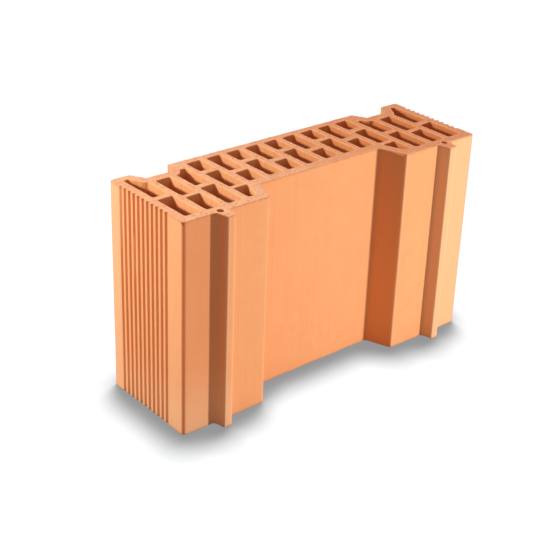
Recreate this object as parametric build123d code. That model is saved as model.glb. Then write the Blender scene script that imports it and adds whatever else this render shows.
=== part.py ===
"""Vertically cored clay block, one fired piece.

The block is one section drawn in plan and extruded along +Z, the way the clay leaves its die.
The long side runs along X, the front joint face with its tongues and mortar pocket looks
along -Y, and the back joint face with its grooves looks along +Y. The origin lies at the
middle of the bounding box, on the lower bed face. All sizes are in millimetres.
"""

import os

from build123d import *

# Overall size
LENGTH = 400.0
JOINT_WIDTH = 124.0
HEIGHT = 238.0
CORNER_RADIUS = 3.5
EDGE_RADIUS = 2.0

# Tongues on the front joint face
TONGUE_OFFSET = 2.0
TONGUE_HEIGHT = 14.0
TONGUE_ROOT = 16.0
TONGUE_TIP = 9.6
TONGUE_ROOT_RADIUS = 4.0
TONGUE_TIP_RADIUS = 1.5
VENT_DIAMETER = 7.0
VENT_INSET = 2.0

# Mortar pocket between the tongues
POCKET_OVERLAP = 1.0
POCKET_FLANK = 12.0
POCKET_DEPTH = 30.4

# Grooves in the back joint face
GROOVE_MOUTH = 47.0
GROOVE_FLOOR = 29.0
GROOVE_DEPTH = 16.5

# Plaster keys in the two end faces
KEY_COUNT = 11
KEY_FRONT_MARGIN = 27.5
KEY_BACK_MARGIN = 20.0
KEY_MOUTH = 4.6
KEY_FLOOR = 3.2
KEY_DEPTH = 2.4
KEY_RADIUS = 0.8

# Cells, with the walls and webs between them
COLUMNS = 15
TONGUE_COLUMN = 1
FLANK_COLUMN = 2
POCKET_COLUMN = 3
END_WALL = 10.75
CROSS_WEB = 7.75
ROW_WEB = 7.0
FRONT_WEB = 5.5
FRONT_WALL = 11.5
BACK_WALL = 8.5
POCKET_WALL = 12.1
GROOVE_WALL = 10.5
INNER_BACK_WALL = 18.0
CELL_RADIUS = 2.0

# Shares of a column's open depth that its front cell takes
JOINT_CELL_SHARE = 0.47
TONGUE_CELL_SHARE = 0.44
LONG_CELL_SHARE = 0.62

# Places that follow from the sizes above
FRONT = (TONGUE_HEIGHT - JOINT_WIDTH) / 2
BACK = FRONT + JOINT_WIDTH
TONGUE_FACE = FRONT - TONGUE_HEIGHT
POCKET_BACK = FRONT + POCKET_DEPTH
GROOVE_FRONT = BACK - GROOVE_DEPTH
END = LENGTH / 2
CELL_FRONT = FRONT + FRONT_WALL
CELL_BACK = BACK - BACK_WALL
INNER_FRONT = POCKET_BACK + POCKET_WALL
KEY_PITCH = (JOINT_WIDTH - KEY_FRONT_MARGIN - KEY_BACK_MARGIN) / (KEY_COUNT - 1)
CELL_WIDTH = (LENGTH - 2 * END_WALL - (COLUMNS - 1) * CROSS_WEB) / COLUMNS
COLUMN_PITCH = CELL_WIDTH + CROSS_WEB


def column_middle(column):
    """Return the X of a column's middle, counted from the left end."""
    return (column - (COLUMNS - 1) / 2) * COLUMN_PITCH


TONGUE_CENTRE = -column_middle(TONGUE_COLUMN) - TONGUE_OFFSET
POCKET_MOUTH = 2 * (POCKET_OVERLAP - column_middle(POCKET_COLUMN) - CELL_WIDTH / 2)
POCKET_FLOOR = POCKET_MOUTH - 2 * POCKET_FLANK


def outline(points):
    """Return the plan face inside a closed run of points."""
    return make_face(Polyline(*points, close=True))


def rounded(face, radius):
    """Round the outward corners of a plan face."""
    core = offset(face, amount=-radius, kind=Kind.INTERSECTION)
    return offset(core, amount=radius, kind=Kind.ARC)


def eased(face, radius):
    """Round the outward and then the inward corners of a plan face."""
    grown = offset(rounded(face, radius), amount=radius, kind=Kind.INTERSECTION)
    return offset(grown, amount=-radius, kind=Kind.ARC)


def trapezoid(middle, mouth_y, mouth, floor_y, floor):
    """Return a plan trapezoid that narrows or widens from one Y to another."""
    return outline([
        (middle - mouth / 2, mouth_y),
        (middle - floor / 2, floor_y),
        (middle + floor / 2, floor_y),
        (middle + mouth / 2, mouth_y),
    ])


def both_ends(face):
    """Return a plan face together with its mirror image in the other half."""
    return [face, mirror(face, about=Plane.YZ)]


def pocket():
    """Return the mortar pocket, drawn on past the front joint face."""
    flare = (POCKET_MOUTH - POCKET_FLOOR) * TONGUE_HEIGHT / POCKET_DEPTH
    return trapezoid(0, TONGUE_FACE, POCKET_MOUTH + flare, POCKET_BACK, POCKET_FLOOR)


def groove():
    """Return the left groove, drawn on past the back joint face."""
    flare = GROOVE_MOUTH - GROOVE_FLOOR
    return trapezoid(-TONGUE_CENTRE, BACK + GROOVE_DEPTH, GROOVE_MOUTH + flare, GROOVE_FRONT, GROOVE_FLOOR)


def tongue():
    """Return the left tongue, drawn on into the block, with rounded tip corners."""
    inside = TONGUE_ROOT + TONGUE_ROOT - TONGUE_TIP
    bar = trapezoid(-TONGUE_CENTRE, FRONT + TONGUE_HEIGHT, inside, TONGUE_FACE, TONGUE_TIP)
    return rounded(bar, TONGUE_TIP_RADIUS)


def hollowed_roots(plan):
    """Round the hollow corner on both sides of each tongue."""
    for centre in (-TONGUE_CENTRE, TONGUE_CENTRE):
        for side in (-TONGUE_ROOT / 2, TONGUE_ROOT / 2):
            root = plan.vertices().sort_by_distance((centre + side, FRONT))[0]
            plan = fillet(root, TONGUE_ROOT_RADIUS)
    return plan


def keys():
    """Return the row of plaster keys in the left end face."""
    flare = KEY_MOUTH - KEY_FLOOR
    row = []
    for index in range(KEY_COUNT):
        y = FRONT + KEY_FRONT_MARGIN + index * KEY_PITCH
        row.append(outline([
            (-END - KEY_DEPTH, y - KEY_MOUTH / 2 - flare / 2),
            (-END + KEY_DEPTH, y - KEY_FLOOR / 2),
            (-END + KEY_DEPTH, y + KEY_FLOOR / 2),
            (-END - KEY_DEPTH, y + KEY_MOUTH / 2 + flare / 2),
        ]))
    return row


def split(front, back, web, share):
    """Return the two cells that a web parts in a column, the front one taking a share."""
    depth = (back - front - web) * share
    return [(front, front + depth), (front + depth + web, back)]


def rows(column):
    """Return the front and back of each cell in a column, counted from the nearer end."""
    if column == 0:
        return split(CELL_FRONT, CELL_BACK, ROW_WEB, JOINT_CELL_SHARE)
    if column == TONGUE_COLUMN:
        return split(CELL_FRONT, GROOVE_FRONT - GROOVE_WALL, FRONT_WEB, TONGUE_CELL_SHARE)
    if column == FLANK_COLUMN:
        front, back = split(CELL_FRONT, CELL_BACK, ROW_WEB, JOINT_CELL_SHARE)
        return [front, (back[0], BACK - INNER_BACK_WALL)]
    share = 1 - LONG_CELL_SHARE if column % 2 == 0 else LONG_CELL_SHARE
    field = split(INNER_FRONT, CELL_BACK, ROW_WEB, share)
    if column == POCKET_COLUMN:
        field.insert(0, (CELL_FRONT, INNER_FRONT - FRONT_WEB))
    return field


def cells():
    """Return every cell of the field, kept a full wall away from pocket and grooves."""
    keep_out = [offset(pocket(), amount=POCKET_WALL, kind=Kind.INTERSECTION)]
    keep_out += both_ends(offset(groove(), amount=GROOVE_WALL, kind=Kind.ARC))
    field = []
    for column in range(COLUMNS):
        for front, back in rows(min(column, COLUMNS - 1 - column)):
            cell = trapezoid(column_middle(column), front, CELL_WIDTH, back, CELL_WIDTH)
            for region in keep_out:
                cell = cell - region
            field.append(rounded(cell, CELL_RADIUS))
    return field


def section():
    """Return the whole plan section of the block."""
    plan = outline([(-END, FRONT), (END, FRONT), (END, BACK), (-END, BACK)])
    plan = rounded(plan, CORNER_RADIUS) - pocket()
    for side in both_ends(groove()):
        plan = plan - side
    plan = eased(plan, EDGE_RADIUS)
    for side in both_ends(tongue()):
        plan = plan + side
    plan = hollowed_roots(plan)
    for key in keys():
        for side in both_ends(key):
            plan = plan - side
    plan = eased(plan, KEY_RADIUS)
    for cell in cells():
        plan = plan - cell
    vent = Pos(column_middle(TONGUE_COLUMN), FRONT + VENT_INSET) * Circle(VENT_DIAMETER / 2)
    for side in both_ends(vent):
        plan = plan - side
    return plan


block = extrude(section(), amount=HEIGHT)
os.makedirs("parts", exist_ok=True)
export_step(block, "parts/clay_block.step")
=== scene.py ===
"""Looks of a vertically cored clay block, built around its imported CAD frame.

The block is re-meshed from the plan loops of its own CAD solid, so every wall stays where the
solid has it, and then gets what the kiln and the cutting wire leave behind: worn edges, chips,
drag lines along the walls and a torn, grainy cut on the two bed faces. Lengths are in metres.
"""

import logging
import math
from dataclasses import dataclass, field
from enum import Enum

import bpy
import numpy as np
from mathutils import Matrix, Vector
from mathutils.geometry import delaunay_2d_cdt


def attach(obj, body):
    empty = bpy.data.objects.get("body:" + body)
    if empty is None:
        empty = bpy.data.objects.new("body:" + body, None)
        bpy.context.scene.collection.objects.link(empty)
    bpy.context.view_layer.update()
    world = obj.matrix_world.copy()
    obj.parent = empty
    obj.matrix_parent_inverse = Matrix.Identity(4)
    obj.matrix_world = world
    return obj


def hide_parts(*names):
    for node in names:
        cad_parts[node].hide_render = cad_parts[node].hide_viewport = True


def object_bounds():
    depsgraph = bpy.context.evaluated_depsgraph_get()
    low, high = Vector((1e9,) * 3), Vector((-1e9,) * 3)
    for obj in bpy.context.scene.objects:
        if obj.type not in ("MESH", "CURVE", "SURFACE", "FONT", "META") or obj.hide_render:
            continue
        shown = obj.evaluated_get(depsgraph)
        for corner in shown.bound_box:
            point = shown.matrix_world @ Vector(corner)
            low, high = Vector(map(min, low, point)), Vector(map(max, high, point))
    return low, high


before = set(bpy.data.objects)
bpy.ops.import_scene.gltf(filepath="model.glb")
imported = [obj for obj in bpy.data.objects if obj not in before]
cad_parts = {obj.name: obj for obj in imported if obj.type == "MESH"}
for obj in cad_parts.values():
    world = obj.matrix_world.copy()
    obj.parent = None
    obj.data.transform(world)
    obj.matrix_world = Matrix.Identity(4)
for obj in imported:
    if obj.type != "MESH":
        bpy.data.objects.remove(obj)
CAD_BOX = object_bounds()

MM = 0.001
NODE = "clay_block"
BODY = "root"
PIECE = "fired_block"

Colour = tuple[float, float, float]
Place = tuple[float, float, float]
Span = tuple[float, float]
Rectangle = tuple[float, float, float, float]
Coat = tuple[bpy.types.NodeSocket, object]

log = logging.getLogger("clay_block")


class Surface(Enum):
    """Kinds of surface on the block, in the order of its material slots."""

    SKIN = 0
    CELL = 1
    BED = 2


class Bed(Enum):
    """The two cut faces of the block, with the way each of them looks along Z."""

    LOWER = -1
    UPPER = 1


class Mark(Enum):
    """Marks on the points of the block's mesh, which its finishes read by name."""

    EDGE_WEAR = "edge_wear"
    # Painted shade: a dark line on the rounds of the outer corners at the ends.
    CORNER_SHADE = "outer_corner"
    # Painted shade on the joint face left of the left tongue, lighter at the foot.
    JOINT_SHADE = "wash"
    # Painted shade on the flanks of tongues, pocket and grooves, lighter at the foot.
    FLANK_SHADE = "flank"
    # Painted highlight along the upright edges between the two ends.
    ARRIS_HIGHLIGHT = "arris_highlight"


class Draw(Enum):
    """Drawn patterns: offset from the seed, shortest and longest wave, number of waves."""

    BOW = (0, 60.0 * MM, 260.0 * MM, 7)
    LINES = (1, 4.0 * MM, 16.0 * MM, 9)
    WEAR = (2, 5.0 * MM, 45.0 * MM, 7)
    CRUMBS = (7, 2.5 * MM, 7.0 * MM, 7)
    PULL = (13, 3.0 * MM, 14.0 * MM, 7)
    GRAIN = (21, 3.0 * MM, 12.0 * MM, 9)
    WIRE = (22, 6.0 * MM, 30.0 * MM, 7)


def rgba(colour: Colour) -> tuple[float, float, float, float]:
    """Return a colour with full alpha."""
    return (*colour, 1.0)


# Shader nodes

# Share of the dark patches in the clay's tone
SOOT_SHARE = 0.6

# Drag lines: stretch of the broad and the fine ones, density of the fine ones, shares of the height
BROAD_STRETCH: Place = (1.0, 1.0, 0.012)
FINE_STRETCH: Place = (1.0, 1.0, 0.05)
FINE_DENSITY = 4.0
BROAD_SHARE = 0.7
FINE_SHARE = 0.3

# Grain: density of bare spots, pits and flecks against the grain, and the height of pits and flecks
BARE_DENSITY = 0.23
PIT_DENSITY = 0.55
FLECK_DENSITY = 0.7
FLECK_SHIFT: Place = (3.1, 1.7, 0.9)
PIT_HEIGHT = 0.8
FLECK_HEIGHT = 0.35


class NodeTree:
    """A node tree with short calls to add and join nodes."""

    def __init__(self, tree: bpy.types.NodeTree) -> None:
        """Keep the tree that the nodes go into."""
        self.tree = tree

    def add(self, kind: str, **settings: object) -> bpy.types.Node:
        """Add a node.

        Args:
            kind: Blender's type name of the node.
            **settings: attributes of the node, set by name.

        Returns:
            The new node.
        """
        node = self.tree.nodes.new(kind)
        for name, value in settings.items():
            setattr(node, name, value)
        return node

    def join(self, source: object, target: bpy.types.NodeSocket) -> None:
        """Feed a socket from another socket, or set it to a plain value.

        Args:
            source: socket or value.
            target: socket to feed or set.
        """
        if isinstance(source, bpy.types.NodeSocket):
            self.tree.links.new(source, target)
        else:
            target.default_value = source

    def math(self, operation: str, first: object, second: object) -> bpy.types.NodeSocket:
        """Add a sum, product or other Math node.

        Args:
            operation: Blender's name of the operation.
            first: socket or number on its first input.
            second: socket or number on its second input.

        Returns:
            The result's socket.
        """
        node = self.add("ShaderNodeMath", operation=operation)
        self.join(first, node.inputs[0])
        self.join(second, node.inputs[1])
        return node.outputs[0]

    def times(self, first: object, second: object) -> bpy.types.NodeSocket:
        """Return the product of two sockets or numbers."""
        return self.math("MULTIPLY", first, second)

    def ramp(
        self, value: object, low: object, high: object, start: object = 0.0, end: object = 1.0
    ) -> bpy.types.NodeSocket:
        """Map a value smoothly from one span onto another, held at its ends.

        Args:
            value: socket with the value to map.
            low: where the span begins.
            high: where the span ends.
            start: result at the beginning of the span.
            end: result at the end of the span.

        Returns:
            The result's socket.
        """
        node = self.add("ShaderNodeMapRange", interpolation_type="SMOOTHSTEP")
        for socket, source in zip(node.inputs[:5], (value, low, high, start, end)):
            self.join(source, socket)
        return node.outputs["Result"]

    def mix(self, factor: object, under: object, over: object) -> bpy.types.NodeSocket:
        """Mix two colours.

        Args:
            factor: share of the upper colour.
            under: the lower colour.
            over: the upper colour.

        Returns:
            The mixed colour's socket.
        """
        node = self.add("ShaderNodeMix", data_type="RGBA", clamp_factor=True)
        self.join(factor, node.inputs["Factor"])
        self.join(under, node.inputs[6])
        self.join(over, node.inputs[7])
        return node.outputs[2]

    def noise(self, where: object, scale: object, detail: float, rough: float) -> bpy.types.NodeSocket:
        """Add a noise texture.

        Args:
            where: socket with the place that the pattern is read at.
            scale: repeats in each metre.
            detail: octaves of finer noise.
            rough: weight of the finer octaves.

        Returns:
            The noise value's socket.
        """
        node = self.add("ShaderNodeTexNoise")
        self.join(where, node.inputs["Vector"])
        self.join(scale, node.inputs["Scale"])
        self.join(detail, node.inputs["Detail"])
        self.join(rough, node.inputs["Roughness"])
        return node.outputs["Fac"]

    def spots(self, where: object, scale: object) -> bpy.types.NodeSocket:
        """Add scattered points.

        Args:
            where: socket with the place that the pattern is read at.
            scale: points in each metre.

        Returns:
            The socket of the distance to the nearest point, in their own spacing.
        """
        node = self.add("ShaderNodeTexVoronoi", feature="F1")
        self.join(where, node.inputs["Vector"])
        self.join(scale, node.inputs["Scale"])
        return node.outputs["Distance"]

    def place(self, scale: Place = (1.0, 1.0, 1.0)) -> bpy.types.NodeSocket:
        """Read the place on the object.

        Args:
            scale: stretch along its axes.

        Returns:
            The socket of the stretched place.
        """
        place = self.add("ShaderNodeTexCoord").outputs["Object"]
        node = self.add("ShaderNodeVectorMath", operation="MULTIPLY")
        self.join(place, node.inputs[0])
        self.join(scale, node.inputs[1])
        return node.outputs["Vector"]

    def axes(self) -> bpy.types.bpy_prop_collection:
        """Read the place on the object, axis by axis.

        Returns:
            The sockets X, Y and Z.
        """
        split = self.add("ShaderNodeSeparateXYZ")
        self.join(self.place(), split.inputs[0])
        return split.outputs

    def seen(self) -> bpy.types.NodeSocket:
        """Tell which rays come from the camera, a gloss or glass.

        Returns:
            The mask's socket.
        """
        path = self.add("ShaderNodeLightPath").outputs
        seen = self.math("MAXIMUM", path["Is Camera Ray"], path["Is Glossy Ray"])
        return self.math("MAXIMUM", seen, path["Is Transmission Ray"])


class NodeGroup(NodeTree):
    """A shader node group with named inputs and outputs."""

    def __init__(self, name: str, inputs: dict[str, object], outputs: dict[str, str]) -> None:
        """Make the group's sockets.

        Args:
            name: name of the group.
            inputs: default value of each input, a number or a colour.
            outputs: Blender's socket type of each output.
        """
        super().__init__(bpy.data.node_groups.new(name, "ShaderNodeTree"))
        face = self.tree.interface
        for label, value in inputs.items():
            kind = "NodeSocketFloat" if isinstance(value, float) else "NodeSocketColor"
            face.new_socket(label, in_out="INPUT", socket_type=kind).default_value = value
        for label, kind in outputs.items():
            face.new_socket(label, in_out="OUTPUT", socket_type=kind)
        self.source = self.add("NodeGroupInput").outputs
        self.result = self.add("NodeGroupOutput").inputs


def clay_tone_group() -> bpy.types.NodeTree:
    """Build the uneven burnt tone of the clay.

    Returns:
        A group that turns three tones into one mottled colour.
    """
    grey = rgba((0.5, 0.5, 0.5))
    group = NodeGroup(
        "clay_tone",
        {"Colour": grey, "Pale": grey, "Dark": grey, "Mottle": 0.5, "Grain": 0.5, "Spacing": 900.0},
        {"Colour": "NodeSocketColor"},
    )
    place = group.place()
    cloud = group.ramp(group.noise(place, 14.0, 3.0, 0.55), 0.34, 0.68)
    patch = group.ramp(group.noise(place, 55.0, 3.0, 0.6), 0.36, 0.66)
    source = group.source
    grain = group.noise(place, source["Spacing"], 3.0, 0.7)
    colour = group.mix(group.times(cloud, source["Mottle"]), source["Colour"], source["Pale"])
    soot = group.times(group.math("SUBTRACT", 1.0, patch), source["Mottle"])
    colour = group.mix(group.times(soot, SOOT_SHARE), colour, source["Dark"])
    fine = group.times(group.ramp(grain, 0.3, 0.5, 1.0, 0.0), source["Grain"])
    colour = group.mix(fine, colour, source["Dark"])
    bright = group.times(group.ramp(grain, 0.52, 0.72), source["Grain"])
    group.join(group.mix(bright, colour, source["Pale"]), group.result["Colour"])
    return group.tree


def drag_lines_group() -> bpy.types.NodeTree:
    """Build the fine lines that the die draws along the walls.

    Returns:
        A group with the lines' height and a mask of the darker ones.
    """
    group = NodeGroup(
        "drag_lines",
        {"Spacing": 300.0},
        {"Height": "NodeSocketFloat", "Mask": "NodeSocketFloat"},
    )
    spacing = group.source["Spacing"]
    broad = group.noise(group.place(BROAD_STRETCH), spacing, 2.0, 0.6)
    fine = group.noise(group.place(FINE_STRETCH), group.times(spacing, FINE_DENSITY), 2.0, 0.5)
    height = group.math("ADD", group.times(broad, BROAD_SHARE), group.times(fine, FINE_SHARE))
    group.join(height, group.result["Height"])
    group.join(group.ramp(broad, 0.5, 0.7), group.result["Mask"])
    return group.tree


def clay_grain_group() -> bpy.types.NodeTree:
    """Build the grain, pits and sand flecks of the clay.

    Returns:
        A group with the grain's height and masks of pits and flecks.
    """
    group = NodeGroup(
        "clay_grain",
        {"Spacing": 600.0, "Pits": 0.5, "Flecks": 0.5},
        {"Height": "NodeSocketFloat", "Pit": "NodeSocketFloat", "Fleck": "NodeSocketFloat"},
    )
    place = group.place()
    source = group.source
    bumps = group.noise(place, source["Spacing"], 4.0, 0.65)
    sparse = group.noise(place, group.times(source["Spacing"], BARE_DENSITY), 1.0, 0.5)
    spots = group.spots(place, group.times(source["Spacing"], PIT_DENSITY))
    pit = group.times(group.ramp(spots, 0.1, 0.34, 1.0, 0.0), group.ramp(sparse, 0.5, 0.62))
    pit = group.times(pit, source["Pits"])
    shift = group.add("ShaderNodeVectorMath", operation="ADD")
    group.join(place, shift.inputs[0])
    group.join(FLECK_SHIFT, shift.inputs[1])
    grains = group.spots(shift.outputs["Vector"], group.times(source["Spacing"], FLECK_DENSITY))
    fleck = group.times(group.ramp(grains, 0.08, 0.3, 1.0, 0.0), group.ramp(sparse, 0.5, 0.38))
    fleck = group.times(fleck, source["Flecks"])
    height = group.math("SUBTRACT", bumps, group.times(pit, PIT_HEIGHT))
    group.join(group.math("ADD", height, group.times(fleck, FLECK_HEIGHT)), group.result["Height"])
    group.join(pit, group.result["Pit"])
    group.join(fleck, group.result["Fleck"])
    return group.tree


def edge_wear_group() -> bpy.types.NodeTree:
    """Build the rubbed look of edges and chips.

    Returns:
        A group with a broken mask that follows the mesh's own worn edges.
    """
    group = NodeGroup("edge_wear", {"Amount": 0.5}, {"Mask": "NodeSocketFloat"})
    worn = group.add("ShaderNodeAttribute", attribute_name=Mark.EDGE_WEAR.value).outputs["Fac"]
    broken = group.ramp(group.noise(group.place(), 420.0, 3.0, 0.65), 0.3, 0.62, 0.25, 1.0)
    mask = group.times(group.times(worn, broken), group.source["Amount"])
    group.join(mask, group.result["Mask"])
    return group.tree


@dataclass(frozen=True)
class PaintedLightPlaces:
    """Where painted light and painted shade go on the block, each from where it starts to where it is
    full.

    Attributes:
        left_end: painted light on the left end, along X.
        back_margin: stronger painted light past the keys of that end, along Y.
        key_painted_light: share of the painted light between the keys.
        right_strip: painted light beside the right end, along X.
        rim: painted light below the upper bed, along Z.
        rim_run: fading of the rim's painted light, along X.
        rim_least: share of the rim's painted light that is left at the right.
        foot: painted light at the foot, along Z.
        foot_run: painted light of the foot towards the left, along X.
        right_shade: painted shade, a deeper tone towards the right end, along X.
    """

    left_end: Span = (-196.5 * MM, -198.5 * MM)
    back_margin: Span = (45.0 * MM, 56.0 * MM)
    key_painted_light: float = 0.2
    right_strip: Span = (140.0 * MM, 147.0 * MM)
    rim: Span = (222.0 * MM, 234.0 * MM)
    rim_run: Span = (-140.0 * MM, 160.0 * MM)
    rim_least: float = 0.1
    foot: Span = (85.0 * MM, 0.0)
    foot_run: Span = (-125.0 * MM, -155.0 * MM)
    right_shade: Span = (-150.0 * MM, 150.0 * MM)


def painted_light_group() -> bpy.types.NodeTree:
    """Build the masks of the painted light and the painted shade on the clay.

    Returns:
        A group with masks of the painted light and of the painted shade towards the right end.
    """
    group = NodeGroup(
        "painted_light_places",
        {"Left": 0.0, "Right": 0.0, "Rim": 0.0, "Foot": 0.0, "Flash": 0.0},
        {"Painted light": "NodeSocketFloat", "Flash": "NodeSocketFloat"},
    )
    at = PaintedLightPlaces()
    source = group.source
    axes = group.axes()
    left = group.ramp(axes["X"], *at.left_end, 0.0, source["Left"])
    left = group.times(left, group.ramp(axes["Y"], *at.back_margin, at.key_painted_light, 1.0))
    right = group.ramp(axes["X"], *at.right_strip, 0.0, source["Right"])
    rim = group.ramp(axes["Z"], *at.rim, 0.0, source["Rim"])
    rim = group.times(rim, group.ramp(axes["X"], *at.rim_run, 1.0, at.rim_least))
    foot = group.ramp(axes["Z"], *at.foot, 0.0, source["Foot"])
    foot = group.times(foot, group.ramp(axes["X"], *at.foot_run))
    # Painted light: the strongest of the left end, the right strip, the rim and the foot.
    painted_light = group.math("MAXIMUM", left, right)
    for share in (rim, foot):
        painted_light = group.math("MAXIMUM", painted_light, share)
    group.join(painted_light, group.result["Painted light"])
    # Painted shade: a deeper tone towards the right end.
    group.join(group.ramp(axes["X"], *at.right_shade, 0.0, source["Flash"]), group.result["Flash"])
    return group.tree


@dataclass(frozen=True)
class ClayGroups:
    """The node groups that the clay's finishes share."""

    tone: bpy.types.NodeTree = field(default_factory=clay_tone_group)
    drag: bpy.types.NodeTree = field(default_factory=drag_lines_group)
    grain: bpy.types.NodeTree = field(default_factory=clay_grain_group)
    wear: bpy.types.NodeTree = field(default_factory=edge_wear_group)
    places: bpy.types.NodeTree = field(default_factory=painted_light_group)


@dataclass(frozen=True)
class ClayFinish:
    """One finish of the fired clay.

    Attributes:
        name: name of the material.
        colour: middle tone.
        pale: tone of sandy patches and flecks.
        dark: tone of pits and drag lines.
        worn: tone of rubbed edges and chips.
        mottle: strength of the large patches.
        grain: strength of the finest specks.
        drag: strength of the drag lines' colour.
        drag_depth: height of the drag lines.
        spacing: grain repeats in each metre.
        pits: share of pits.
        flecks: share of sand flecks.
        depth: height of the grain.
        wear: strength of the edge wear.
        left_painted_light: strength of the painted light on the left end.
        right_painted_light: strength of the painted light beside the right end.
        rim_painted_light: strength of the painted light below the upper bed.
        foot_painted_light: strength of the painted light at the foot of the left part.
        painted_light_tone: tone of the painted light.
        right_shade: strength of the painted shade, a deeper tone towards the right end.
        right_shade_tone: tone of that painted shade.
        rough: lowest and highest roughness.
        sheen_level: specular level.
        line_spacing: drag lines in each metre.
    """

    name: str
    colour: Colour
    pale: Colour
    dark: Colour
    worn: Colour
    mottle: float
    grain: float
    drag: float
    drag_depth: float
    spacing: float
    pits: float
    flecks: float
    depth: float
    wear: float
    left_painted_light: float = 0.0
    right_painted_light: float = 0.0
    rim_painted_light: float = 0.0
    foot_painted_light: float = 0.0
    painted_light_tone: Colour = (0.87, 0.49, 0.265)
    right_shade: float = 0.0
    right_shade_tone: Colour = (0.78, 0.27, 0.10)
    rough: Span = (0.82, 0.95)
    sheen_level: float = 0.25
    line_spacing: float = 260.0

    def group(self, tree: NodeTree, source: bpy.types.NodeTree, **values: object) -> bpy.types.Node:
        """Place a node group in the material.

        Args:
            tree: the material's nodes.
            source: the group.
            **values: values of its inputs.

        Returns:
            The group's node.
        """
        node = tree.add("ShaderNodeGroup", node_tree=source)
        for name, value in values.items():
            tree.join(value, node.inputs[name])
        return node

    def relief(
        self, tree: NodeTree, height: object, depth: float, under: object = None
    ) -> bpy.types.NodeSocket:
        """Add a bump to the surface.

        Args:
            tree: the material's nodes.
            height: socket with the height.
            depth: height of a full step, in metres.
            under: normal of the relief below it.

        Returns:
            The bumped normal's socket.
        """
        node = tree.add("ShaderNodeBump")
        node.inputs["Distance"].default_value = depth
        tree.join(height, node.inputs["Height"])
        if under is not None:
            tree.join(under, node.inputs["Normal"])
        return node.outputs["Normal"]

    def first_coats(self, tree: NodeTree) -> list[Coat]:
        """Return the coats below the painted light, of which plain clay has none."""
        return []

    def last_coats(self, tree: NodeTree) -> list[Coat]:
        """Return the coats above the wear, of which plain clay has none."""
        return []

    def material(self, groups: ClayGroups) -> bpy.types.Material:
        """Build the material.

        Args:
            groups: the shared node groups.

        Returns:
            The finished material.
        """
        made = bpy.data.materials.new(self.name)
        made.use_nodes = True
        tree = NodeTree(made.node_tree)
        shader = made.node_tree.nodes["Principled BSDF"]
        tone = self.group(
            tree,
            groups.tone,
            Colour=rgba(self.colour),
            Pale=rgba(self.pale),
            Dark=rgba(self.dark),
            Mottle=self.mottle,
            Grain=self.grain,
            Spacing=self.spacing,
        )
        drag = self.group(tree, groups.drag, Spacing=self.line_spacing)
        grain = self.group(tree, groups.grain, Spacing=self.spacing, Pits=self.pits, Flecks=self.flecks)
        wear = self.group(tree, groups.wear, Amount=self.wear)
        places = self.group(
            tree,
            groups.places,
            Left=self.left_painted_light,
            Right=self.right_painted_light,
            Rim=self.rim_painted_light,
            Foot=self.foot_painted_light,
            Flash=self.right_shade,
        )
        # Painted shade towards the right end lies lowest, and the painted light lies over the finish's
        # first coats.
        coats = [
            (places.outputs["Flash"], rgba(self.right_shade_tone)),
            *self.first_coats(tree),
            (places.outputs["Painted light"], rgba(self.painted_light_tone)),
            (tree.times(drag.outputs["Mask"], self.drag), rgba(self.dark)),
            (grain.outputs["Fleck"], rgba(self.pale)),
            (grain.outputs["Pit"], rgba(self.dark)),
            (wear.outputs["Mask"], rgba(self.worn)),
            *self.last_coats(tree),
        ]
        colour = tone.outputs["Colour"]
        for share, over in coats:
            colour = tree.mix(share, colour, over)
        tree.join(colour, shader.inputs["Base Color"])
        gloss = tree.ramp(grain.outputs["Height"], 0.3, 0.7, self.rough[1], self.rough[0])
        tree.join(gloss, shader.inputs["Roughness"])
        shader.inputs["Specular IOR Level"].default_value = self.sheen_level
        lines = self.relief(tree, drag.outputs["Height"], self.drag_depth)
        tree.join(self.relief(tree, grain.outputs["Height"], self.depth, lines), shader.inputs["Normal"])
        return made


@dataclass(frozen=True)
class SkinFinish(ClayFinish):
    """The finish of the outer walls, which follows the marks of the mesh as well, with their painted
    shade and painted highlight.

    Attributes:
        flank: strength of the painted shade, a deeper tone, on the flanks of tongues, pocket and grooves.
        flank_shade_tones: that painted shade at the foot, where it is lighter, and at the top.
        arris_highlight: strength of the painted highlight, a paler tone, along the upright edges of
            tongues, pocket and grooves.
        wash: strength of the painted shade on the joint face left of the left tongue.
        corner_shade: strength of the painted shade, a dark line, along the upright outer corners.
        painted_shade_tone: tone of the joint face's painted shade and of that line.
    """

    flank: float = 0.85
    flank_shade_tones: tuple[Colour, Colour] = ((0.86, 0.295, 0.088), (0.69, 0.235, 0.08))
    arris_highlight: float = 0.45
    wash: float = 0.3
    corner_shade: float = 0.88
    painted_shade_tone: Colour = (0.60, 0.15, 0.05)

    def marked(self, tree: NodeTree, mark: Mark, strength: float) -> bpy.types.NodeSocket:
        """Return a mark of the mesh, times a strength."""
        share = tree.add("ShaderNodeAttribute", attribute_name=mark.value).outputs["Fac"]
        return tree.times(share, strength)

    def first_coats(self, tree: NodeTree) -> list[Coat]:
        """Lay the painted shade of the flanks, which deepens with height, and the painted highlight of
        the upright edges.

        Args:
            tree: the material's nodes.

        Returns:
            The coats, from the lowest up.
        """
        height = tree.ramp(tree.axes()["Z"], 0.0, CAD_BOX[1][2])
        low, high = self.flank_shade_tones
        return [
            (self.marked(tree, Mark.FLANK_SHADE, self.flank), tree.mix(height, rgba(low), rgba(high))),
            (self.marked(tree, Mark.ARRIS_HIGHLIGHT, self.arris_highlight), rgba(self.painted_light_tone)),
        ]

    def last_coats(self, tree: NodeTree) -> list[Coat]:
        """Lay the painted shade on the joint face, and the painted shade along the outer corners.

        Args:
            tree: the material's nodes.

        Returns:
            The coats, from the lowest up.
        """
        return [
            (self.marked(tree, Mark.JOINT_SHADE, self.wash), rgba(self.painted_shade_tone)),
            (self.marked(tree, Mark.CORNER_SHADE, self.corner_shade), rgba(self.painted_shade_tone)),
        ]


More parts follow.
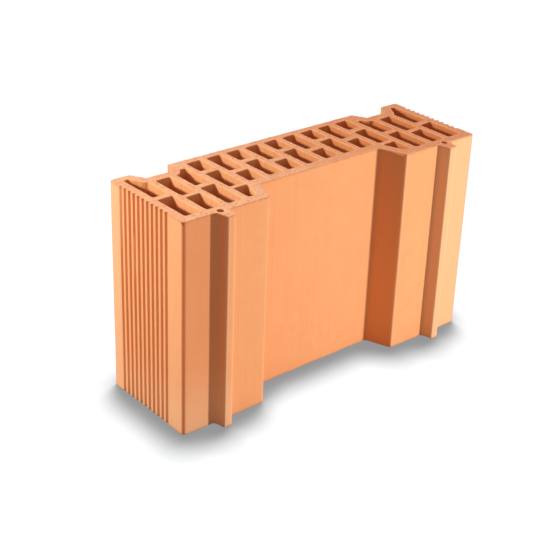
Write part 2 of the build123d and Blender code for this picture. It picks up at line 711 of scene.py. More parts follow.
SKIN_FINISH = SkinFinish(
    name="extruded_skin",
    colour=(0.83, 0.348, 0.143),
    pale=(0.87, 0.415, 0.185),
    dark=(0.70, 0.245, 0.095),
    # On the outer walls this tone is darker than the clay, so a dark line runs along their edges at the
    # beds and round their chips.
    worn=(0.50, 0.18, 0.075),
    mottle=0.14,
    grain=0.16,
    drag=0.06,
    drag_depth=0.00025,
    spacing=700.0,
    pits=0.25,
    flecks=0.3,
    depth=0.00018,
    wear=0.85,
    # Painted light on the left end, beside the right end and at the foot of the left part.
    left_painted_light=0.45,
    right_painted_light=0.55,
    foot_painted_light=0.55,
)
CELL_FINISH = ClayFinish(
    name="cell_wall",
    colour=(0.82, 0.295, 0.085),
    pale=(0.86, 0.35, 0.13),
    dark=(0.68, 0.20, 0.055),
    worn=(0.86, 0.42, 0.20),
    mottle=0.4,
    grain=0.2,
    drag=0.3,
    drag_depth=0.0004,
    spacing=600.0,
    pits=0.4,
    flecks=0.25,
    depth=0.0003,
    wear=0.6,
    # Painted light on the upper part of the cell walls, fading towards the right.
    rim_painted_light=0.65,
    painted_light_tone=(0.88, 0.44, 0.20),
    # Painted shade: a deeper tone towards the right end.
    right_shade=0.6,
    right_shade_tone=(0.80, 0.24, 0.075),
)
BED_FINISH = ClayFinish(
    name="wire_cut_bed",
    colour=(0.875, 0.41, 0.212),
    pale=(0.90, 0.50, 0.295),
    dark=(0.62, 0.22, 0.09),
    worn=(0.87, 0.46, 0.26),
    mottle=0.5,
    grain=0.8,
    drag=0.0,
    drag_depth=0.0,
    spacing=380.0,
    pits=0.7,
    flecks=0.9,
    depth=0.0009,
    wear=0.7,
    # Painted shade: a deeper tone towards the right end.
    right_shade=0.75,
    right_shade_tone=(0.71, 0.255, 0.115),
)


# The block's mesh


class Waves:
    """A smooth seeded pattern made of a few sine waves, about -1 to 1."""

    def __init__(self, seed: int, shortest: float, longest: float, count: int) -> None:
        """Draw the waves.

        Args:
            seed: seed of the draw.
            shortest: shortest wavelength.
            longest: longest wavelength.
            count: how many waves are summed.
        """
        rng = np.random.default_rng(seed)
        turn = rng.normal(size=(count, 3))
        turn /= np.linalg.norm(turn, axis=1)[:, None]
        length = np.exp(rng.uniform(math.log(shortest), math.log(longest), count))
        self.vectors = turn * (2 * math.pi / length)[:, None]
        self.phases = rng.uniform(0, 2 * math.pi, count)

    def at(self, points: np.ndarray) -> np.ndarray:
        """Return the pattern at each point of an array of places."""
        waves = np.sin(points @ self.vectors.T + self.phases)
        return waves.sum(axis=1) / math.sqrt(len(self.phases))


@dataclass
class PlanLoop:
    """One closed line of the block's plan, with the clay on its left side.

    Attributes:
        points: places along the line.
        normals: directions out of the clay at those places.
        outer: whether this is the outside of the block.
    """

    points: np.ndarray
    normals: np.ndarray
    outer: bool


@dataclass(frozen=True)
class Chip:
    """A small piece broken off an edge.

    Attributes:
        x: place along the block.
        y: place across the block.
        bed: the cut face whose edge is broken.
        reach: how far it reaches along the edge.
        bite: how far it cuts the edge back.
    """

    x: float
    y: float
    bed: Bed
    reach: float
    bite: float


@dataclass
class FiredBlock:
    """The whole block: skin, cells and the two wire-cut beds as one mesh.

    Attributes:
        skin_step: longest distance between points along the outer walls.
        cell_step: longest distance between points along the cell walls.
        least_step: shortest distance between points on a rounded corner.
        weld: places in each metre at which the solid's points are joined.
        bed_gap: how far below the top a point of the solid's bed may lie.
        upward: least upright part of the normal of a face on that bed.
        sharp_turn: angle of a corner in the plan whose point always stays.
        shade_turn: angle between faces past which their edge is shaded sharp.
        skin_rows: rows of faces up the outer walls.
        cell_rows: rows of faces up the cell walls.
        edge_radius: usual radius of a worn edge.
        edge_least: smallest radius of a worn edge.
        edge_most: largest radius of a worn edge without a chip.
        edge_shares: how much the long waves and the crumbs change the radius.
        edge_levels: heights at which the waves of the radius and of the pull are read.
        edge_steps: faces across a worn edge.
        edge_marks: wear at the bed, on the round, at the wall and on the support row.
        chip_crown: height of a chip's round before its bite cuts it flat.
        least_share: share of a step along the edge that its worn line keeps.
        ease: share of an inset that a round of easing leaves.
        ease_rounds: most rounds of easing on a tight corner.
        support: distance from an edge to the row that ends its shading.
        fade: distance from an edge at which its wear ends.
        corner_reach: width of the outer corners' rounds.
        corner_shade_mark: gain and cut of the painted shade on those rounds.
        arris_turn: angle between neighbouring points that counts as a full upright edge for the painted
            highlight.
        flank_shade_mark: gain and cut of the painted shade on flanks.
        pocket_reach: distance from the middle plane within which a flank is the pocket's.
        outer_flank_shade: share of the painted shade on the flanks past that distance.
        corner_inset: distance from the middle plane past which an end face has no keys.
        joint_shade_from: where the painted shade of the left joint strip ends, beside the tongue's tip.
        joint_shade_fade: distance over which it fades there.
        joint_shade_foot: share of that painted shade that is left at the foot.
        joint_shade_height: height above which it is whole.
        ragged: how far the wire pulls the edges of cells out of line.
        bow: how far the walls wander from flat.
        line_depth: depth of the drag lines in the mesh.
        line_stretch: stretch of their pattern along X, Y and Z.
        torn: height of the torn grain on the beds.
        torn_shares: shares of the grain and of the wire's lines in it, and how deep it lies.
        wire_stretch: stretch of the wire's lines along X, Y and Z.
        bed_steps: spacing of the points on the lower and the upper bed.
        bed_rows: distance between rows of those points, in their spacing.
        bed_jitter: how far a point is moved out of its row, in that spacing.
        bed_margin: clear distance between those points and the edges.
        fill_gap: distance below which the fill of a bed joins points.
        seed: seed of everything that is drawn.
        points_draw: offset from the seed for the points on the beds.
        chips: the broken edges.
    """

    skin_step: float = 2.5 * MM
    cell_step: float = 3.2 * MM
    least_step: float = 0.55 * MM
    weld: float = 1e6
    bed_gap: float = 0.01 * MM
    upward: float = 0.5
    sharp_turn: float = math.radians(30)
    shade_turn: float = math.radians(48)
    skin_rows: int = 36
    cell_rows: int = 11
    edge_radius: float = 0.55 * MM
    edge_least: float = 0.25 * MM
    edge_most: float = 1.0 * MM
    edge_shares: tuple[float, float] = (0.35, 0.25)
    edge_levels: tuple[float, float] = (0.11, 0.2)
    edge_steps: int = 3
    edge_marks: tuple[float, float, float, float] = (0.75, 1.0, 0.8, 0.45)
    chip_crown: float = 1.25
    least_share: float = 0.3
    ease: float = 0.85
    ease_rounds: int = 40
    support: float = 0.3 * MM
    fade: float = 2.5 * MM
    corner_reach: float = 4.0 * MM
    corner_shade_mark: tuple[float, float] = (1.6, 0.35)
    arris_turn: float = math.radians(14)
    flank_shade_mark: tuple[float, float] = (3.0, 0.3)
    pocket_reach: float = 110.0 * MM
    outer_flank_shade: float = 0.25
    corner_inset: float = 52.0 * MM
    joint_shade_from: float = -156.0 * MM
    joint_shade_fade: float = 1.5 * MM
    joint_shade_foot: float = 0.2
    joint_shade_height: float = 100.0 * MM
    ragged: float = 0.3 * MM
    bow: float = 0.12 * MM
    line_depth: float = 0.05 * MM
    line_stretch: Place = (1.0, 1.0, 0.03)
    torn: float = 0.12 * MM
    torn_shares: tuple[float, float, float] = (0.5, 0.4, 0.9)
    wire_stretch: Place = (0.15, 1.0, 1.0)
    bed_steps: tuple[float, float] = (3.6 * MM, 2.3 * MM)
    bed_rows: float = 0.87
    bed_jitter: float = 0.22
    bed_margin: float = 1.1 * MM
    fill_gap: float = 1e-9
    seed: int = 41
    points_draw: int = 5
    chips: tuple[Chip, ...] = (
        Chip(0.1615, -0.0565, Bed.UPPER, 3.2 * MM, 1.7 * MM),
        Chip(-0.1060, -0.0550, Bed.UPPER, 2.5 * MM, 1.2 * MM),
        Chip(-0.1995, 0.0690, Bed.UPPER, 3.0 * MM, 1.2 * MM),
        Chip(0.1990, -0.0545, Bed.UPPER, 2.6 * MM, 1.3 * MM),
        Chip(0.0550, -0.0246, Bed.UPPER, 2.8 * MM, 1.1 * MM),
        Chip(-0.0240, 0.0690, Bed.UPPER, 2.6 * MM, 1.2 * MM),
        Chip(-0.1995, -0.0550, Bed.LOWER, 3.4 * MM, 1.6 * MM),
        Chip(0.0950, -0.0550, Bed.LOWER, 3.0 * MM, 1.5 * MM),
        Chip(-0.1530, -0.0690, Bed.LOWER, 2.6 * MM, 1.3 * MM),
        Chip(0.1990, 0.0680, Bed.LOWER, 3.4 * MM, 1.7 * MM),
    )

    def plan_loops(self, node: bpy.types.Object) -> tuple[list[np.ndarray], float]:
        """Read the closed lines around the upper bed of the CAD solid.

        Args:
            node: the CAD node.

        Returns:
            The lines, each with the clay on its left, and the height of the bed.
        """
        mesh = node.data
        places = np.zeros(len(mesh.vertices) * 3, np.float32)
        mesh.vertices.foreach_get("co", places)
        places = places.reshape(-1, 3).astype(float)
        top = places[:, 2].max()
        keys = [tuple(row) for row in np.round(places * self.weld).astype(int)]
        first: dict[tuple[int, ...], int] = {}
        welded = [first.setdefault(key, index) for index, key in enumerate(keys)]
        mesh.calc_loop_triangles()
        edges: set[tuple[int, int]] = set()
        for triangle in mesh.loop_triangles:
            corners = [welded[v] for v in triangle.vertices]
            below = min(places[v, 2] for v in corners) < top - self.bed_gap
            if below or triangle.normal.z < self.upward:
                continue
            for a, b in zip(corners, corners[1:] + corners[:1]):
                if (b, a) in edges:
                    edges.remove((b, a))
                else:
                    edges.add((a, b))
        follow = dict(edges)
        loops = []
        while follow:
            start = min(follow)
            line = [start]
            here = follow.pop(start)
            while here != start:
                line.append(here)
                here = follow.pop(here)
            loops.append(places[line][:, :2])
        return loops, float(top)

    def resampled(self, line: np.ndarray, longest: float) -> np.ndarray:
        """Thin out the points on round corners and fill in the long straights.

        Args:
            line: points of a closed line.
            longest: longest step that may stay.

        Returns:
            The new points.
        """
        corner = np.abs(self.turning(line)) > self.sharp_turn
        kept = [0]
        for index in range(1, len(line)):
            far = np.linalg.norm(line[index] - line[kept[-1]]) >= self.least_step
            if far or corner[index]:
                kept.append(index)
        if np.linalg.norm(line[kept[-1]] - line[0]) < self.least_step and len(kept) > 3:
            kept.pop()
        line = line[kept]
        filled = []
        for here, there in zip(line, np.roll(line, -1, axis=0)):
            steps = max(1, math.ceil(np.linalg.norm(there - here) / longest))
            shares = np.arange(steps)[:, None] / steps
            filled.append(here + (there - here) * shares)
        return np.concatenate(filled)

    def turning(self, line: np.ndarray) -> np.ndarray:
        """Measure the corners of a closed line.

        Args:
            line: points of the line.

        Returns:
            The angle that it turns to the left at each point.
        """
        ahead = np.roll(line, -1, axis=0) - line
        behind = np.roll(ahead, 1, axis=0)
        cross = behind[:, 0] * ahead[:, 1] - behind[:, 1] * ahead[:, 0]
        return np.arctan2(cross, (behind * ahead).sum(axis=1))

    def loop(self, line: np.ndarray) -> PlanLoop:
        """Make a plan loop with even points and outward directions.

        Args:
            line: points of a closed line, with the clay on its left.

        Returns:
            The plan loop.
        """
        ahead = np.roll(line, -1, axis=0)
        area = 0.5 * (line[:, 0] * ahead[:, 1] - line[:, 1] * ahead[:, 0]).sum()
        outer = bool(area > 0)
        points = self.resampled(line, self.skin_step if outer else self.cell_step)
        step = np.roll(points, -1, axis=0) - points
        step /= np.linalg.norm(step, axis=1)[:, None]
        side = np.stack([step[:, 1], -step[:, 0]], axis=1)
        normals = side + np.roll(side, 1, axis=0)
        normals /= np.linalg.norm(normals, axis=1)[:, None]
        return PlanLoop(points, normals, outer)

    def waves(self, draw: Draw, bed: Bed | None = None) -> Waves:
        """Draw one of the block's patterns.

        Args:
            draw: the pattern.
            bed: the cut face that it belongs to, where each has its own.

        Returns:
            The waves of the pattern.
        """
        offset, shortest, longest, count = draw.value
        side = bed.value if bed else 0
        return Waves(self.seed + offset + side, shortest, longest, count)

    def edge_radii(self, loop: PlanLoop, bed: Bed) -> np.ndarray:
        """Return the worn radius at each point of a loop's edge.

        Args:
            loop: the plan loop.
            bed: the cut face that the edge belongs to.

        Returns:
            One radius a point.
        """
        level = np.full(len(loop.points), self.edge_levels[0] * bed.value)
        places = np.column_stack([loop.points, level])
        wear = self.edge_shares[0] * self.waves(Draw.WEAR, bed).at(places)
        crumbs = self.edge_shares[1] * self.waves(Draw.CRUMBS, bed).at(places)
        radii = np.clip(self.edge_radius * (1 + wear + crumbs), self.edge_least, self.edge_most)
        for chip in self.chips:
            if chip.bed is not bed:
                continue
            reach = np.hypot(loop.points[:, 0] - chip.x, loop.points[:, 1] - chip.y) / chip.reach
            radii = np.maximum(radii, chip.bite * np.clip(self.chip_crown - reach * reach, 0, 1))
        return radii

    def at_ends(self, loop: PlanLoop) -> np.ndarray:
        """Tell which points of the outer loop lie on the two ends of the block."""
        return np.abs(loop.points[:, 0]) > CAD_BOX[1][0] - self.corner_reach

    def corners(self, loop: PlanLoop) -> np.ndarray:
        """Tell how far each point of the outer loop lies on the round of an outer corner, which gets a
        line of painted shade.

        Args:
            loop: the outer loop.

        Returns:
            One share a point, 1 at the middle of a round.
        """
        slant = 2 * np.abs(loop.normals[:, 0] * loop.normals[:, 1])
        plain = np.abs(loop.points[:, 1]) > self.corner_inset
        gain, cut = self.corner_shade_mark
        return self.at_ends(loop) * plain * np.clip(gain * slant - cut, 0, 1)

    def joint_shaded(self, loop: PlanLoop, rings: np.ndarray) -> np.ndarray:
        """Tell how much painted shade each point of the outer wall has on the left joint strip, less
        towards the foot.

        Args:
            loop: the outer loop.
            rings: rings of its wall.

        Returns:
            One share a point, ring by ring.
        """
        strip = np.clip((self.joint_shade_from - loop.points[:, 0]) / self.joint_shade_fade, 0, 1)
        strip *= loop.points[:, 1] < -self.corner_inset
        rise = np.clip(rings[:, :, 2] / self.joint_shade_height, 0, 1)
        return strip * (self.joint_shade_foot + (1 - self.joint_shade_foot) * rise)

    def flanks(self, loop: PlanLoop) -> np.ndarray:
        """Tell which points of the outer loop lie on a flank of a tongue, the pocket or a groove, which
        gets painted shade.

        Args:
            loop: the outer loop.

        Returns:
            One share a point, 1 on a flank.
        """
        share = np.where(np.abs(loop.points[:, 0]) < self.pocket_reach, 1.0, self.outer_flank_shade)
        share[self.at_ends(loop)] = 0.0
        gain, cut = self.flank_shade_mark
        return share * np.clip(gain * np.abs(loop.normals[:, 0]) - cut, 0, 1)

    def arris_highlights(self, loop: PlanLoop) -> np.ndarray:
        """Tell which points of the outer loop lie on an upright edge between its two ends, which gets a
        painted highlight.

        Args:
            loop: the outer loop.

        Returns:
            One share a point, 1 on an edge.
        """
        edge = np.clip(self.turning(loop.points) / self.arris_turn, 0, 1)
        return ~self.at_ends(loop) * edge

    def wall_marks(self, loop: PlanLoop, rings: np.ndarray, wear: np.ndarray) -> dict[Mark, np.ndarray]:
        """Set the marks on the points of a wall, of which a cell wall has only the edge wear; the outer
        wall's other marks carry painted shade and a painted highlight.

        Args:
            loop: the plan loop.
            rings: rings of the wall.
            wear: wear of each ring.

        Returns:
            The share of each mark at every point, ring by ring.
        """
        rows, count = rings.shape[:2]
        marks = {mark: np.zeros(rows * count) for mark in Mark}
        marks[Mark.EDGE_WEAR] = np.repeat(wear, count)
        if loop.outer:
            marks[Mark.CORNER_SHADE] = np.tile(self.corners(loop), rows)
            marks[Mark.JOINT_SHADE] = self.joint_shaded(loop, rings).ravel()
            marks[Mark.FLANK_SHADE] = np.tile(self.flanks(loop), rows)
            marks[Mark.ARRIS_HIGHLIGHT] = np.tile(self.arris_highlights(loop), rows)
        return marks

    def unfolded(self, loop: PlanLoop, inset: np.ndarray) -> np.ndarray:
        """Ease an inset where it would fold the line over on a tight corner.

        Args:
            loop: the plan loop.
            inset: distance into the clay at each point.

        Returns:
            The eased inset.
        """
        inset = inset.copy()
        run = np.roll(loop.points, -1, axis=0) - loop.points
        for _ in range(self.ease_rounds):
            line = loop.points - loop.normals * inset[:, None]
            moved = np.roll(line, -1, axis=0) - line
            folded = (moved * run).sum(axis=1) < self.least_share * (run * run).sum(axis=1)
            if not folded.any():
                break
            ends = folded | np.roll(folded, 1)
            near = ends | np.roll(ends, 1) | np.roll(ends, -1)
            inset[near] *= self.ease
        return inset

    def edge_rings(self, loop: PlanLoop, bed: Bed, height: float) -> tuple[list[np.ndarray], list[float]]:
        """Lay the rings of a worn edge, from the bed round to the wall.

        Args:
            loop: the plan loop.
            bed: the cut face that the edge belongs to.
            height: height of the block.

        Returns:
            The rings of points, and the wear at each ring.
        """
        radii = self.edge_radii(loop, bed)
        flat = np.column_stack([loop.points, np.full(len(radii), self.edge_levels[1] * bed.value)])
        pull = self.waves(Draw.PULL, bed).at(flat) * self.ragged
        inset = self.unfolded(loop, radii + pull)
        level = height if bed is Bed.UPPER else 0.0
        rings = []
        for index in range(self.edge_steps + 1):
            angle = 0.5 * math.pi * index / self.edge_steps
            inward = inset * (1 - math.sin(angle))
            drop = radii * (1 - math.cos(angle))
            plan = loop.points - loop.normals * inward[:, None]
            rings.append(np.column_stack([plan, level - bed.value * drop]))
        at_bed, on_round, at_wall, at_support = self.edge_marks
        wear = [at_bed] + [on_round] * (self.edge_steps - 1) + [at_wall]
        for gap, share in ((self.support, at_support), (self.fade, 0.0)):
            drop = radii + gap
            rings.append(np.column_stack([loop.points, level - bed.value * drop]))
            wear.append(share)
        return rings, wear

    def wall_rings(self, loop: PlanLoop, height: float) -> tuple[np.ndarray, np.ndarray]:
        """Lay every ring of a loop's wall, from the lower to the upper bed.

        Args:
            loop: the plan loop.
            height: height of the block.

        Returns:
            The rings as an array of rows, and the wear of each row.
        """
        low, low_wear = self.edge_rings(loop, Bed.LOWER, height)
        high, high_wear = self.edge_rings(loop, Bed.UPPER, height)
        rows = self.skin_rows if loop.outer else self.cell_rows
        between = []
        for index in range(1, rows):
            share = index / rows
            between.append(low[-1] * (1 - share) + high[-1] * share)
        rings = np.array(low + between + high[::-1])
        wear = np.array(low_wear + [0.0] * (rows - 1) + high_wear[::-1])
        return self.drawn(loop, rings), wear

    def drawn(self, loop: PlanLoop, rings: np.ndarray) -> np.ndarray:
        """Give a wall the wander and the drag lines of the extruded clay.

        Args:
            loop: the plan loop.
            rings: rings of the wall.

        Returns:
            The moved rings.
        """
        flat = rings.reshape(-1, 3)
        bow = self.waves(Draw.BOW).at(flat) * self.bow
        lines = self.waves(Draw.LINES).at(flat * np.array(self.line_stretch)) * self.line_depth
        move = (bow + lines - self.bow).reshape(rings.shape[:2])
        out = np.zeros_like(rings)
        out[:, :, :2] = loop.normals[None, :, :] * np.minimum(move, 0.0)[:, :, None]
        return rings + out

    def bed_points(self, loops: list[np.ndarray], step: float) -> np.ndarray:
        """Scatter points over a bed, clear of every edge.

        Args:
            loops: closed lines around the bed.
            step: spacing of the points.

        Returns:
            The points inside the clay.
        """
        rng = np.random.default_rng(self.seed + self.points_draw)
        low = np.min([line.min(axis=0) for line in loops], axis=0)
        high = np.max([line.max(axis=0) for line in loops], axis=0)
        columns = np.arange(low[0], high[0], step)
        rows = np.arange(low[1], high[1], step * self.bed_rows)
        grid = np.array([(x + (k % 2) * step / 2, y) for k, y in enumerate(rows) for x in columns])
        grid += rng.uniform(-self.bed_jitter, self.bed_jitter, grid.shape) * step
        return grid[self.inside(grid, loops, self.bed_margin)]

    def inside(self, places: np.ndarray, loops: list[np.ndarray], margin: float = 0.0) -> np.ndarray:
        """Tell which places lie in the clay.

        Args:
            places: places in the plan.
            loops: closed lines around the clay.
            margin: clear distance to keep from every line.

        Returns:
            True for each place in the clay.
        """
        crossings = np.zeros(len(places), int)
        near = np.full(len(places), np.inf)
        for line in loops:
            for a, b in zip(line, np.roll(line, -1, axis=0)):
                run = b - a
                if margin:
                    share = np.clip(((places - a) @ run) / (run @ run), 0, 1)
                    gap = places - a - share[:, None] * run
                    near = np.minimum(near, (gap * gap).sum(axis=1))
                if a[1] == b[1]:
                    continue
                spans = (a[1] > places[:, 1]) != (b[1] > places[:, 1])
                crossings += spans & (places[:, 0] < a[0] + (places[:, 1] - a[1]) / run[1] * run[0])
        return (crossings % 2 == 1) & (near > margin**2)

    def bed_mesh(self, rings: list[np.ndarray], bed: Bed) -> tuple[np.ndarray, list[list[int]]]:
        """Fill a bed between the rings around it.

        Args:
            rings: the innermost ring of each loop, as places in space.
            bed: which bed it is.

        Returns:
            Places of the points that the fill adds, and its faces; points of the rings come first.
        """
        plans = [ring[:, :2] for ring in rings]
        step = self.bed_steps[1] if bed is Bed.UPPER else self.bed_steps[0]
        inner = self.bed_points(plans, step)
        points = np.concatenate([*plans, inner])
        edges = []
        start = 0
        for plan in plans:
            count = len(plan)
            edges += [(start + k, start + (k + 1) % count) for k in range(count)]
            start += count
        fill = delaunay_2d_cdt([Vector(p) for p in points], edges, [], 1, self.fill_gap)
        if len(fill[0]) != len(points):
            raise ValueError("the fill of a bed has to keep every point of its rings")
        source = [where[0] for where in fill[3]]
        faces = np.array([[source[v] for v in face] for face in fill[2]])
        faces = faces[self.inside(points[faces].mean(axis=1), plans)].tolist()
        level = rings[0][:, 2].max() if bed is Bed.UPPER else 0.0
        flat = np.column_stack([inner, np.zeros(len(inner))])
        grain, wire, depth = self.torn_shares
        sink = grain * self.waves(Draw.GRAIN).at(flat)
        sink += wire * self.waves(Draw.WIRE).at(flat * np.array(self.wire_stretch))
        sink = self.torn * (sink - depth)
        heights = level + bed.value * np.minimum(sink, 0.0)
        return np.column_stack([inner, heights]), faces

    def wall_faces(self, first: int, rows: int, count: int) -> list[list[int]]:
        """Join the rings of a wall.

        Args:
            first: number of the wall's first point.
            rows: number of rings.
            count: points on each ring.

        Returns:
            The faces of the wall, row by row.
        """
        faces = []
        for base in range(first, first + (rows - 1) * count, count):
            for here in range(count):
                after = (here + 1) % count
                faces.append([base + here, base + after, base + count + after, base + count + here])
        return faces

    def build(self, node: bpy.types.Object) -> bpy.types.Object:
        """Build the block's mesh around the plan of its CAD solid.

        Args:
            node: the CAD node.

        Returns:
            The block, without materials.
        """
        lines, height = self.plan_loops(node)
        loops = [self.loop(line) for line in lines]
        places: list[np.ndarray] = []
        faces: list[list[int]] = []
        kinds: list[int] = []
        marks: dict[Mark, list[np.ndarray]] = {mark: [] for mark in Mark}
        edges: dict[Bed, list[np.ndarray]] = {bed: [] for bed in Bed}
        indices: dict[Bed, list[np.ndarray]] = {bed: [] for bed in Bed}
        total = 0
        for loop in loops:
            rings, wear = self.wall_rings(loop, height)
            rows, count = rings.shape[:2]
            wall = self.wall_faces(total, rows, count)
            faces += wall
            kinds += [(Surface.SKIN if loop.outer else Surface.CELL).value] * len(wall)
            edges[Bed.LOWER].append(rings[0])
            edges[Bed.UPPER].append(rings[-1])
            indices[Bed.LOWER].append(total + np.arange(count))
            indices[Bed.UPPER].append(total + (rows - 1) * count + np.arange(count))
            places.append(rings.reshape(-1, 3))
            for mark, shares in self.wall_marks(loop, rings, wear).items():
                marks[mark].append(shares)
            total += rows * count
        for bed in Bed:
            inner, fill = self.bed_mesh(edges[bed], bed)
            names = np.concatenate([*indices[bed], total + np.arange(len(inner))])
            for face in fill:
                corners = [int(names[v]) for v in face]
                faces.append(corners if bed is Bed.UPPER else corners[::-1])
                kinds.append(Surface.BED.value)
            places.append(inner)
            for values in marks.values():
                values.append(np.zeros(len(inner)))
            total += len(inner)
        mesh = bpy.data.meshes.new(PIECE)
        mesh.from_pydata(np.concatenate(places).tolist(), [], faces)
        mesh.polygons.foreach_set("material_index", kinds)
        for mark, values in marks.items():
            layer = mesh.attributes.new(mark.value, "FLOAT", "POINT")
            layer.data.foreach_set("value", np.concatenate(values))
        mesh.shade_smooth()
        mesh.set_sharp_from_angle(angle=self.shade_turn)
        mesh.validate()
        mesh.update()
        block = bpy.data.objects.new(PIECE, mesh)
        bpy.context.scene.collection.objects.link(block)
        return block

    def dress(self, block: bpy.types.Object, groups: ClayGroups) -> None:
        """Give the block its finishes and its place in the frame.

        Args:
            block: the block's object.
            groups: the shared node groups.
        """
        finishes = {Surface.SKIN: SKIN_FINISH, Surface.CELL: CELL_FINISH, Surface.BED: BED_FINISH}
        for kind in Surface:
            block.data.materials.append(finishes[kind].material(groups))
        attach(block, BODY)
        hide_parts(NODE)


# Camera, floor and light


@dataclass(frozen=True)
class PhotoCamera:
    """The camera at the photograph's viewing angle.

    Attributes:
        azimuth: angle from the front towards the right end.
        elevation: angle above the floor.
        roll: turn about the line of sight.
        distance: distance from the target.
        target: point that it looks at.
        lens: focal length in millimetres.
        sensor: width of the sensor in millimetres.
        sight: farthest distance that it sees.
    """

    azimuth: float = math.radians(-40.96)
    elevation: float = math.radians(27.17)
    roll: float = math.radians(2.18)
    distance: float = 1.34547
    target: Place = (-0.04709, -0.01146, 0.119)
    lens: float = 82.76
    sensor: float = 36.0
    sight: float = 50.0

    def build(self) -> bpy.types.Object:
        """Add the camera and make it the scene's own.

        Returns:
            The camera's object.
        """
        level = math.cos(self.elevation)
        aside = math.sin(self.azimuth) * level
        ahead = math.cos(self.azimuth) * level
        back = Vector((aside, -ahead, math.sin(self.elevation)))
        side = Vector((math.cos(self.azimuth), math.sin(self.azimuth), 0.0))
        up = back.cross(side)
        right = side * math.cos(self.roll) + up * math.sin(self.roll)
        above = up * math.cos(self.roll) - side * math.sin(self.roll)
        turn = Matrix((right, above, back)).transposed().to_4x4()
        data = bpy.data.cameras.new("photo_camera")
        data.sensor_fit = "HORIZONTAL"
        data.sensor_width = self.sensor
        data.lens = self.lens
        data.clip_end = self.sight
        camera = bpy.data.objects.new("photo_camera", data)
        camera.matrix_world = Matrix.Translation(Vector(self.target) + back * self.distance) @ turn
        bpy.context.scene.collection.objects.link(camera)
        bpy.context.scene.camera = camera
        return camera


def gathered(name: str, *pieces: bpy.types.Object) -> bpy.types.Collection:
    """Put pieces in a collection, for a lamp to be linked with.

    Args:
        name: name of the collection.
        *pieces: what goes into it.

    Returns:
        The collection.
    """
    made = bpy.data.collections.new(name)
    for piece in pieces:
        made.objects.link(piece)
    return made


@dataclass(frozen=True)
class Lamp:
    """A lamp that points at the block.

    Attributes:
        name: name of the lamp.
        place: where it hangs.
        aim: point that it looks at.
        power: strength, in watts or for the sun in watts on a square metre.
        spread: diameter of its face, or the sun's angle.
        sun: whether its light is as even as that of a far lamp.
        only_block: whether it leaves the floor alone.
        flagged: whether the flag stands in its way.
    """

    name: str
    place: Place
    aim: Place
    power: float
    spread: float
    sun: bool = False
    only_block: bool = True
    flagged: bool = False

    def build(self, block: bpy.types.Object, flag: bpy.types.Object) -> bpy.types.Object:
        """Hang the lamp.

        Args:
            block: the block.
            flag: the flag that keeps light off the front.

        Returns:
            The lamp's object.
        """
        data = bpy.data.lights.new(self.name, "SUN" if self.sun else "AREA")
        data.energy = self.power
        if self.sun:
            data.angle = self.spread
        else:
            data.shape = "DISK"
            data.size = self.spread
        lamp = bpy.data.objects.new(self.name, data)
        look = Vector(self.aim) - Vector(self.place)
        turn = look.to_track_quat("-Z", "Y").to_matrix().to_4x4()
        lamp.matrix_world = Matrix.Translation(self.place) @ turn
        bpy.context.scene.collection.objects.link(lamp)
        if self.only_block:
            lamp.light_linking.receiver_collection = gathered(self.name + "_lit", block)
        blockers = (block, flag) if self.flagged else (block,)
        lamp.light_linking.blocker_collection = gathered(self.name + "_shading", *blockers)
        return lamp


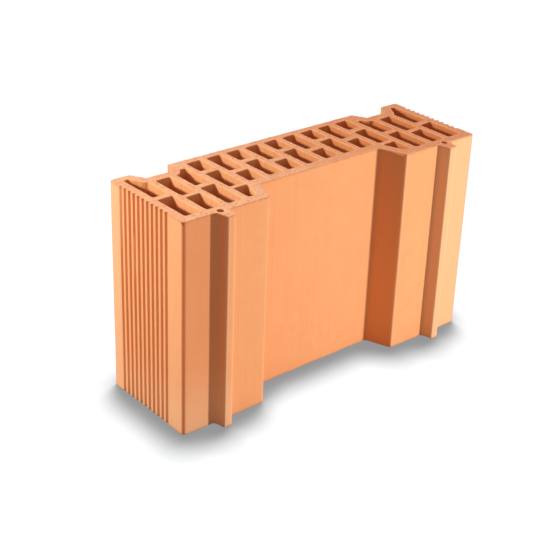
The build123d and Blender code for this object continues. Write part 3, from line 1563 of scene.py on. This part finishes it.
@dataclass(frozen=True)
class Studio:
    """Floor, surrounding light, lamps and the flag that shades the front from the end lamp.

    Attributes:
        floor_size: width of the floor.
        floor_grey: tone of the floor for everything but the camera.
        shade_tone: tone of the deepest shadow on the floor.
        floor_cone: half angle round the upright within which light shows on the floor.
        floor_tone: tone of the floor within that cone.
        shade_reach: how far the block's foot darkens the floor round it.
        shade_depth: share of the light that the foot of a wall takes away.
        shade_open: open share of the sky at that foot.
        shade_samples: rays that look for walls from each place on the floor.
        sky: strength of the surrounding light on the block.
        sky_tone: colour of that light.
        flag_drop: how far the flag hangs below the upper bed.
        flag_parts: the flag's rectangles, each as its least and greatest x and y.
        lamps: the lamps.
    """

    floor_size: float = 12.0
    floor_grey: float = 0.6
    shade_tone: Colour = (0.285, 0.295, 0.305)
    floor_cone: float = math.radians(15.5)
    floor_tone: float = 0.1176
    shade_reach: float = 0.037
    shade_depth: float = 0.7
    shade_open: float = 0.5
    shade_samples: int = 16
    sky: float = 0.36
    sky_tone: Colour = (1.0, 0.94, 0.87)
    flag_drop: float = 1.0 * MM
    flag_parts: tuple[Rectangle, ...] = (
        (-0.6, 0.6, -0.5, -0.050),
        (-0.088, 0.088, -0.050, -0.019),
    )
    lamps: tuple[Lamp, ...] = (
        Lamp(
            name="key_lamp",
            place=(0.55, -0.95, 0.26),
            aim=(0.0, -0.03, 0.119),
            power=10.5,
            spread=0.09,
        ),
        Lamp(
            name="end_lamp",
            place=(-0.83, 0.317, 0.526),
            aim=(-0.17, 0.0, 0.15),
            power=6.6,
            spread=0.1,
            flagged=True,
        ),
        Lamp(
            name="top_lamp",
            place=(0.295, 0.340, 2.966),
            aim=(0.0, 0.0, 0.0),
            power=1.36,
            spread=math.radians(11.5),
            sun=True,
            only_block=False,
        ),
    )

    def floor_material(self) -> bpy.types.Material:
        """Build the white floor, which keeps the block's soft shadow.

        Returns:
            The material.
        """
        made = bpy.data.materials.new("studio_floor")
        made.use_nodes = True
        made.node_tree.nodes.clear()
        tree = NodeTree(made.node_tree)
        foot = tree.add("ShaderNodeAmbientOcclusion", samples=self.shade_samples)
        foot.inputs["Distance"].default_value = self.shade_reach
        open_sky = tree.ramp(foot.outputs["AO"], self.shade_open, 1.0, 1.0 - self.shade_depth)
        lit = tree.add("ShaderNodeBsdfToon", component="DIFFUSE")
        lit.inputs["Size"].default_value = self.floor_cone / (0.5 * math.pi)
        lit.inputs["Smooth"].default_value = 0.0
        tone = tree.mix(open_sky, rgba((0.0, 0.0, 0.0)), rgba((self.floor_tone,) * 3))
        tree.join(tone, lit.inputs["Color"])
        shadow = tree.add("ShaderNodeEmission")
        shadow.inputs["Color"].default_value = rgba(self.shade_tone)
        white = tree.add("ShaderNodeAddShader")
        tree.join(lit.outputs["BSDF"], white.inputs[0])
        tree.join(shadow.outputs["Emission"], white.inputs[1])
        dull = tree.add("ShaderNodeBsdfDiffuse")
        dull.inputs["Color"].default_value = rgba((self.floor_grey,) * 3)
        both = tree.add("ShaderNodeMixShader")
        tree.join(tree.seen(), both.inputs["Fac"])
        tree.join(dull.outputs["BSDF"], both.inputs[1])
        tree.join(white.outputs["Shader"], both.inputs[2])
        output = tree.add("ShaderNodeOutputMaterial")
        tree.join(both.outputs["Shader"], output.inputs["Surface"])
        return made

    def sheet(self, name: str, parts: tuple[Rectangle, ...], level: float) -> bpy.types.Object:
        """Add level rectangles to the stage.

        Args:
            name: name of the piece.
            parts: least and greatest x, then least and greatest y of each rectangle.
            level: height that they lie at.

        Returns:
            The piece.
        """
        places = []
        faces = []
        for left, right, near, far in parts:
            first = len(places)
            places += [(left, near, level), (right, near, level), (right, far, level), (left, far, level)]
            faces.append(tuple(range(first, first + 4)))
        mesh = bpy.data.meshes.new(name)
        mesh.from_pydata(places, [], faces)
        piece = bpy.data.objects.new(name, mesh)
        bpy.context.scene.collection.objects.link(piece)
        return piece

    def floor(self) -> bpy.types.Object:
        """Lay the floor.

        Returns:
            The floor's object.
        """
        half = self.floor_size / 2
        floor = self.sheet("studio_floor", ((-half, half, -half, half),), 0.0)
        floor.data.materials.append(self.floor_material())
        return floor

    def flag(self) -> bpy.types.Object:
        """Hang the flag, which only shadows see.

        Returns:
            The flag's object.
        """
        flag = self.sheet("studio_flag", self.flag_parts, CAD_BOX[1][2] - self.flag_drop)
        for ray in ("camera", "diffuse", "glossy", "transmission", "volume_scatter"):
            setattr(flag, "visible_" + ray, False)
        return flag

    def surround(self) -> None:
        """Make the world white to the camera and dim to everything else."""
        world = bpy.data.worlds.new("studio_surround")
        world.use_nodes = True
        world.cycles.sampling_method = "NONE"
        tree = NodeTree(world.node_tree)
        light = world.node_tree.nodes["Background"]
        seen = tree.seen()
        level = tree.math("MULTIPLY_ADD", seen, 1.0 - self.sky)
        level.node.inputs[2].default_value = self.sky
        tree.join(tree.mix(seen, rgba(self.sky_tone), rgba((1.0, 1.0, 1.0))), light.inputs["Color"])
        tree.join(level, light.inputs["Strength"])
        bpy.context.scene.world = world

    def build(self, block: bpy.types.Object) -> list[bpy.types.Object]:
        """Set up the whole studio round the block.

        Args:
            block: the block, which the lamps light.

        Returns:
            The floor, the flag and the lamps.
        """
        bpy.context.scene.view_settings.view_transform = "Standard"
        floor = self.floor()
        self.surround()
        flag = self.flag()
        return [floor, flag, *(lamp.build(block, flag) for lamp in self.lamps)]


def main() -> None:
    """Build the block, its looks and the studio round it."""
    logging.basicConfig(level=logging.INFO, format="%(message)s")
    groups = ClayGroups()
    maker = FiredBlock()
    block = maker.build(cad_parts[NODE])
    maker.dress(block, groups)
    triangles = sum(len(face.vertices) - 2 for face in block.data.polygons)
    log.info("%s: %d points, %d triangles", block.name, len(block.data.vertices), triangles)
    for piece in (PhotoCamera().build(), *Studio().build(block)):
        log.info("%s: %s", piece.name, piece.type.lower())


if __name__ == "__main__":
    main()
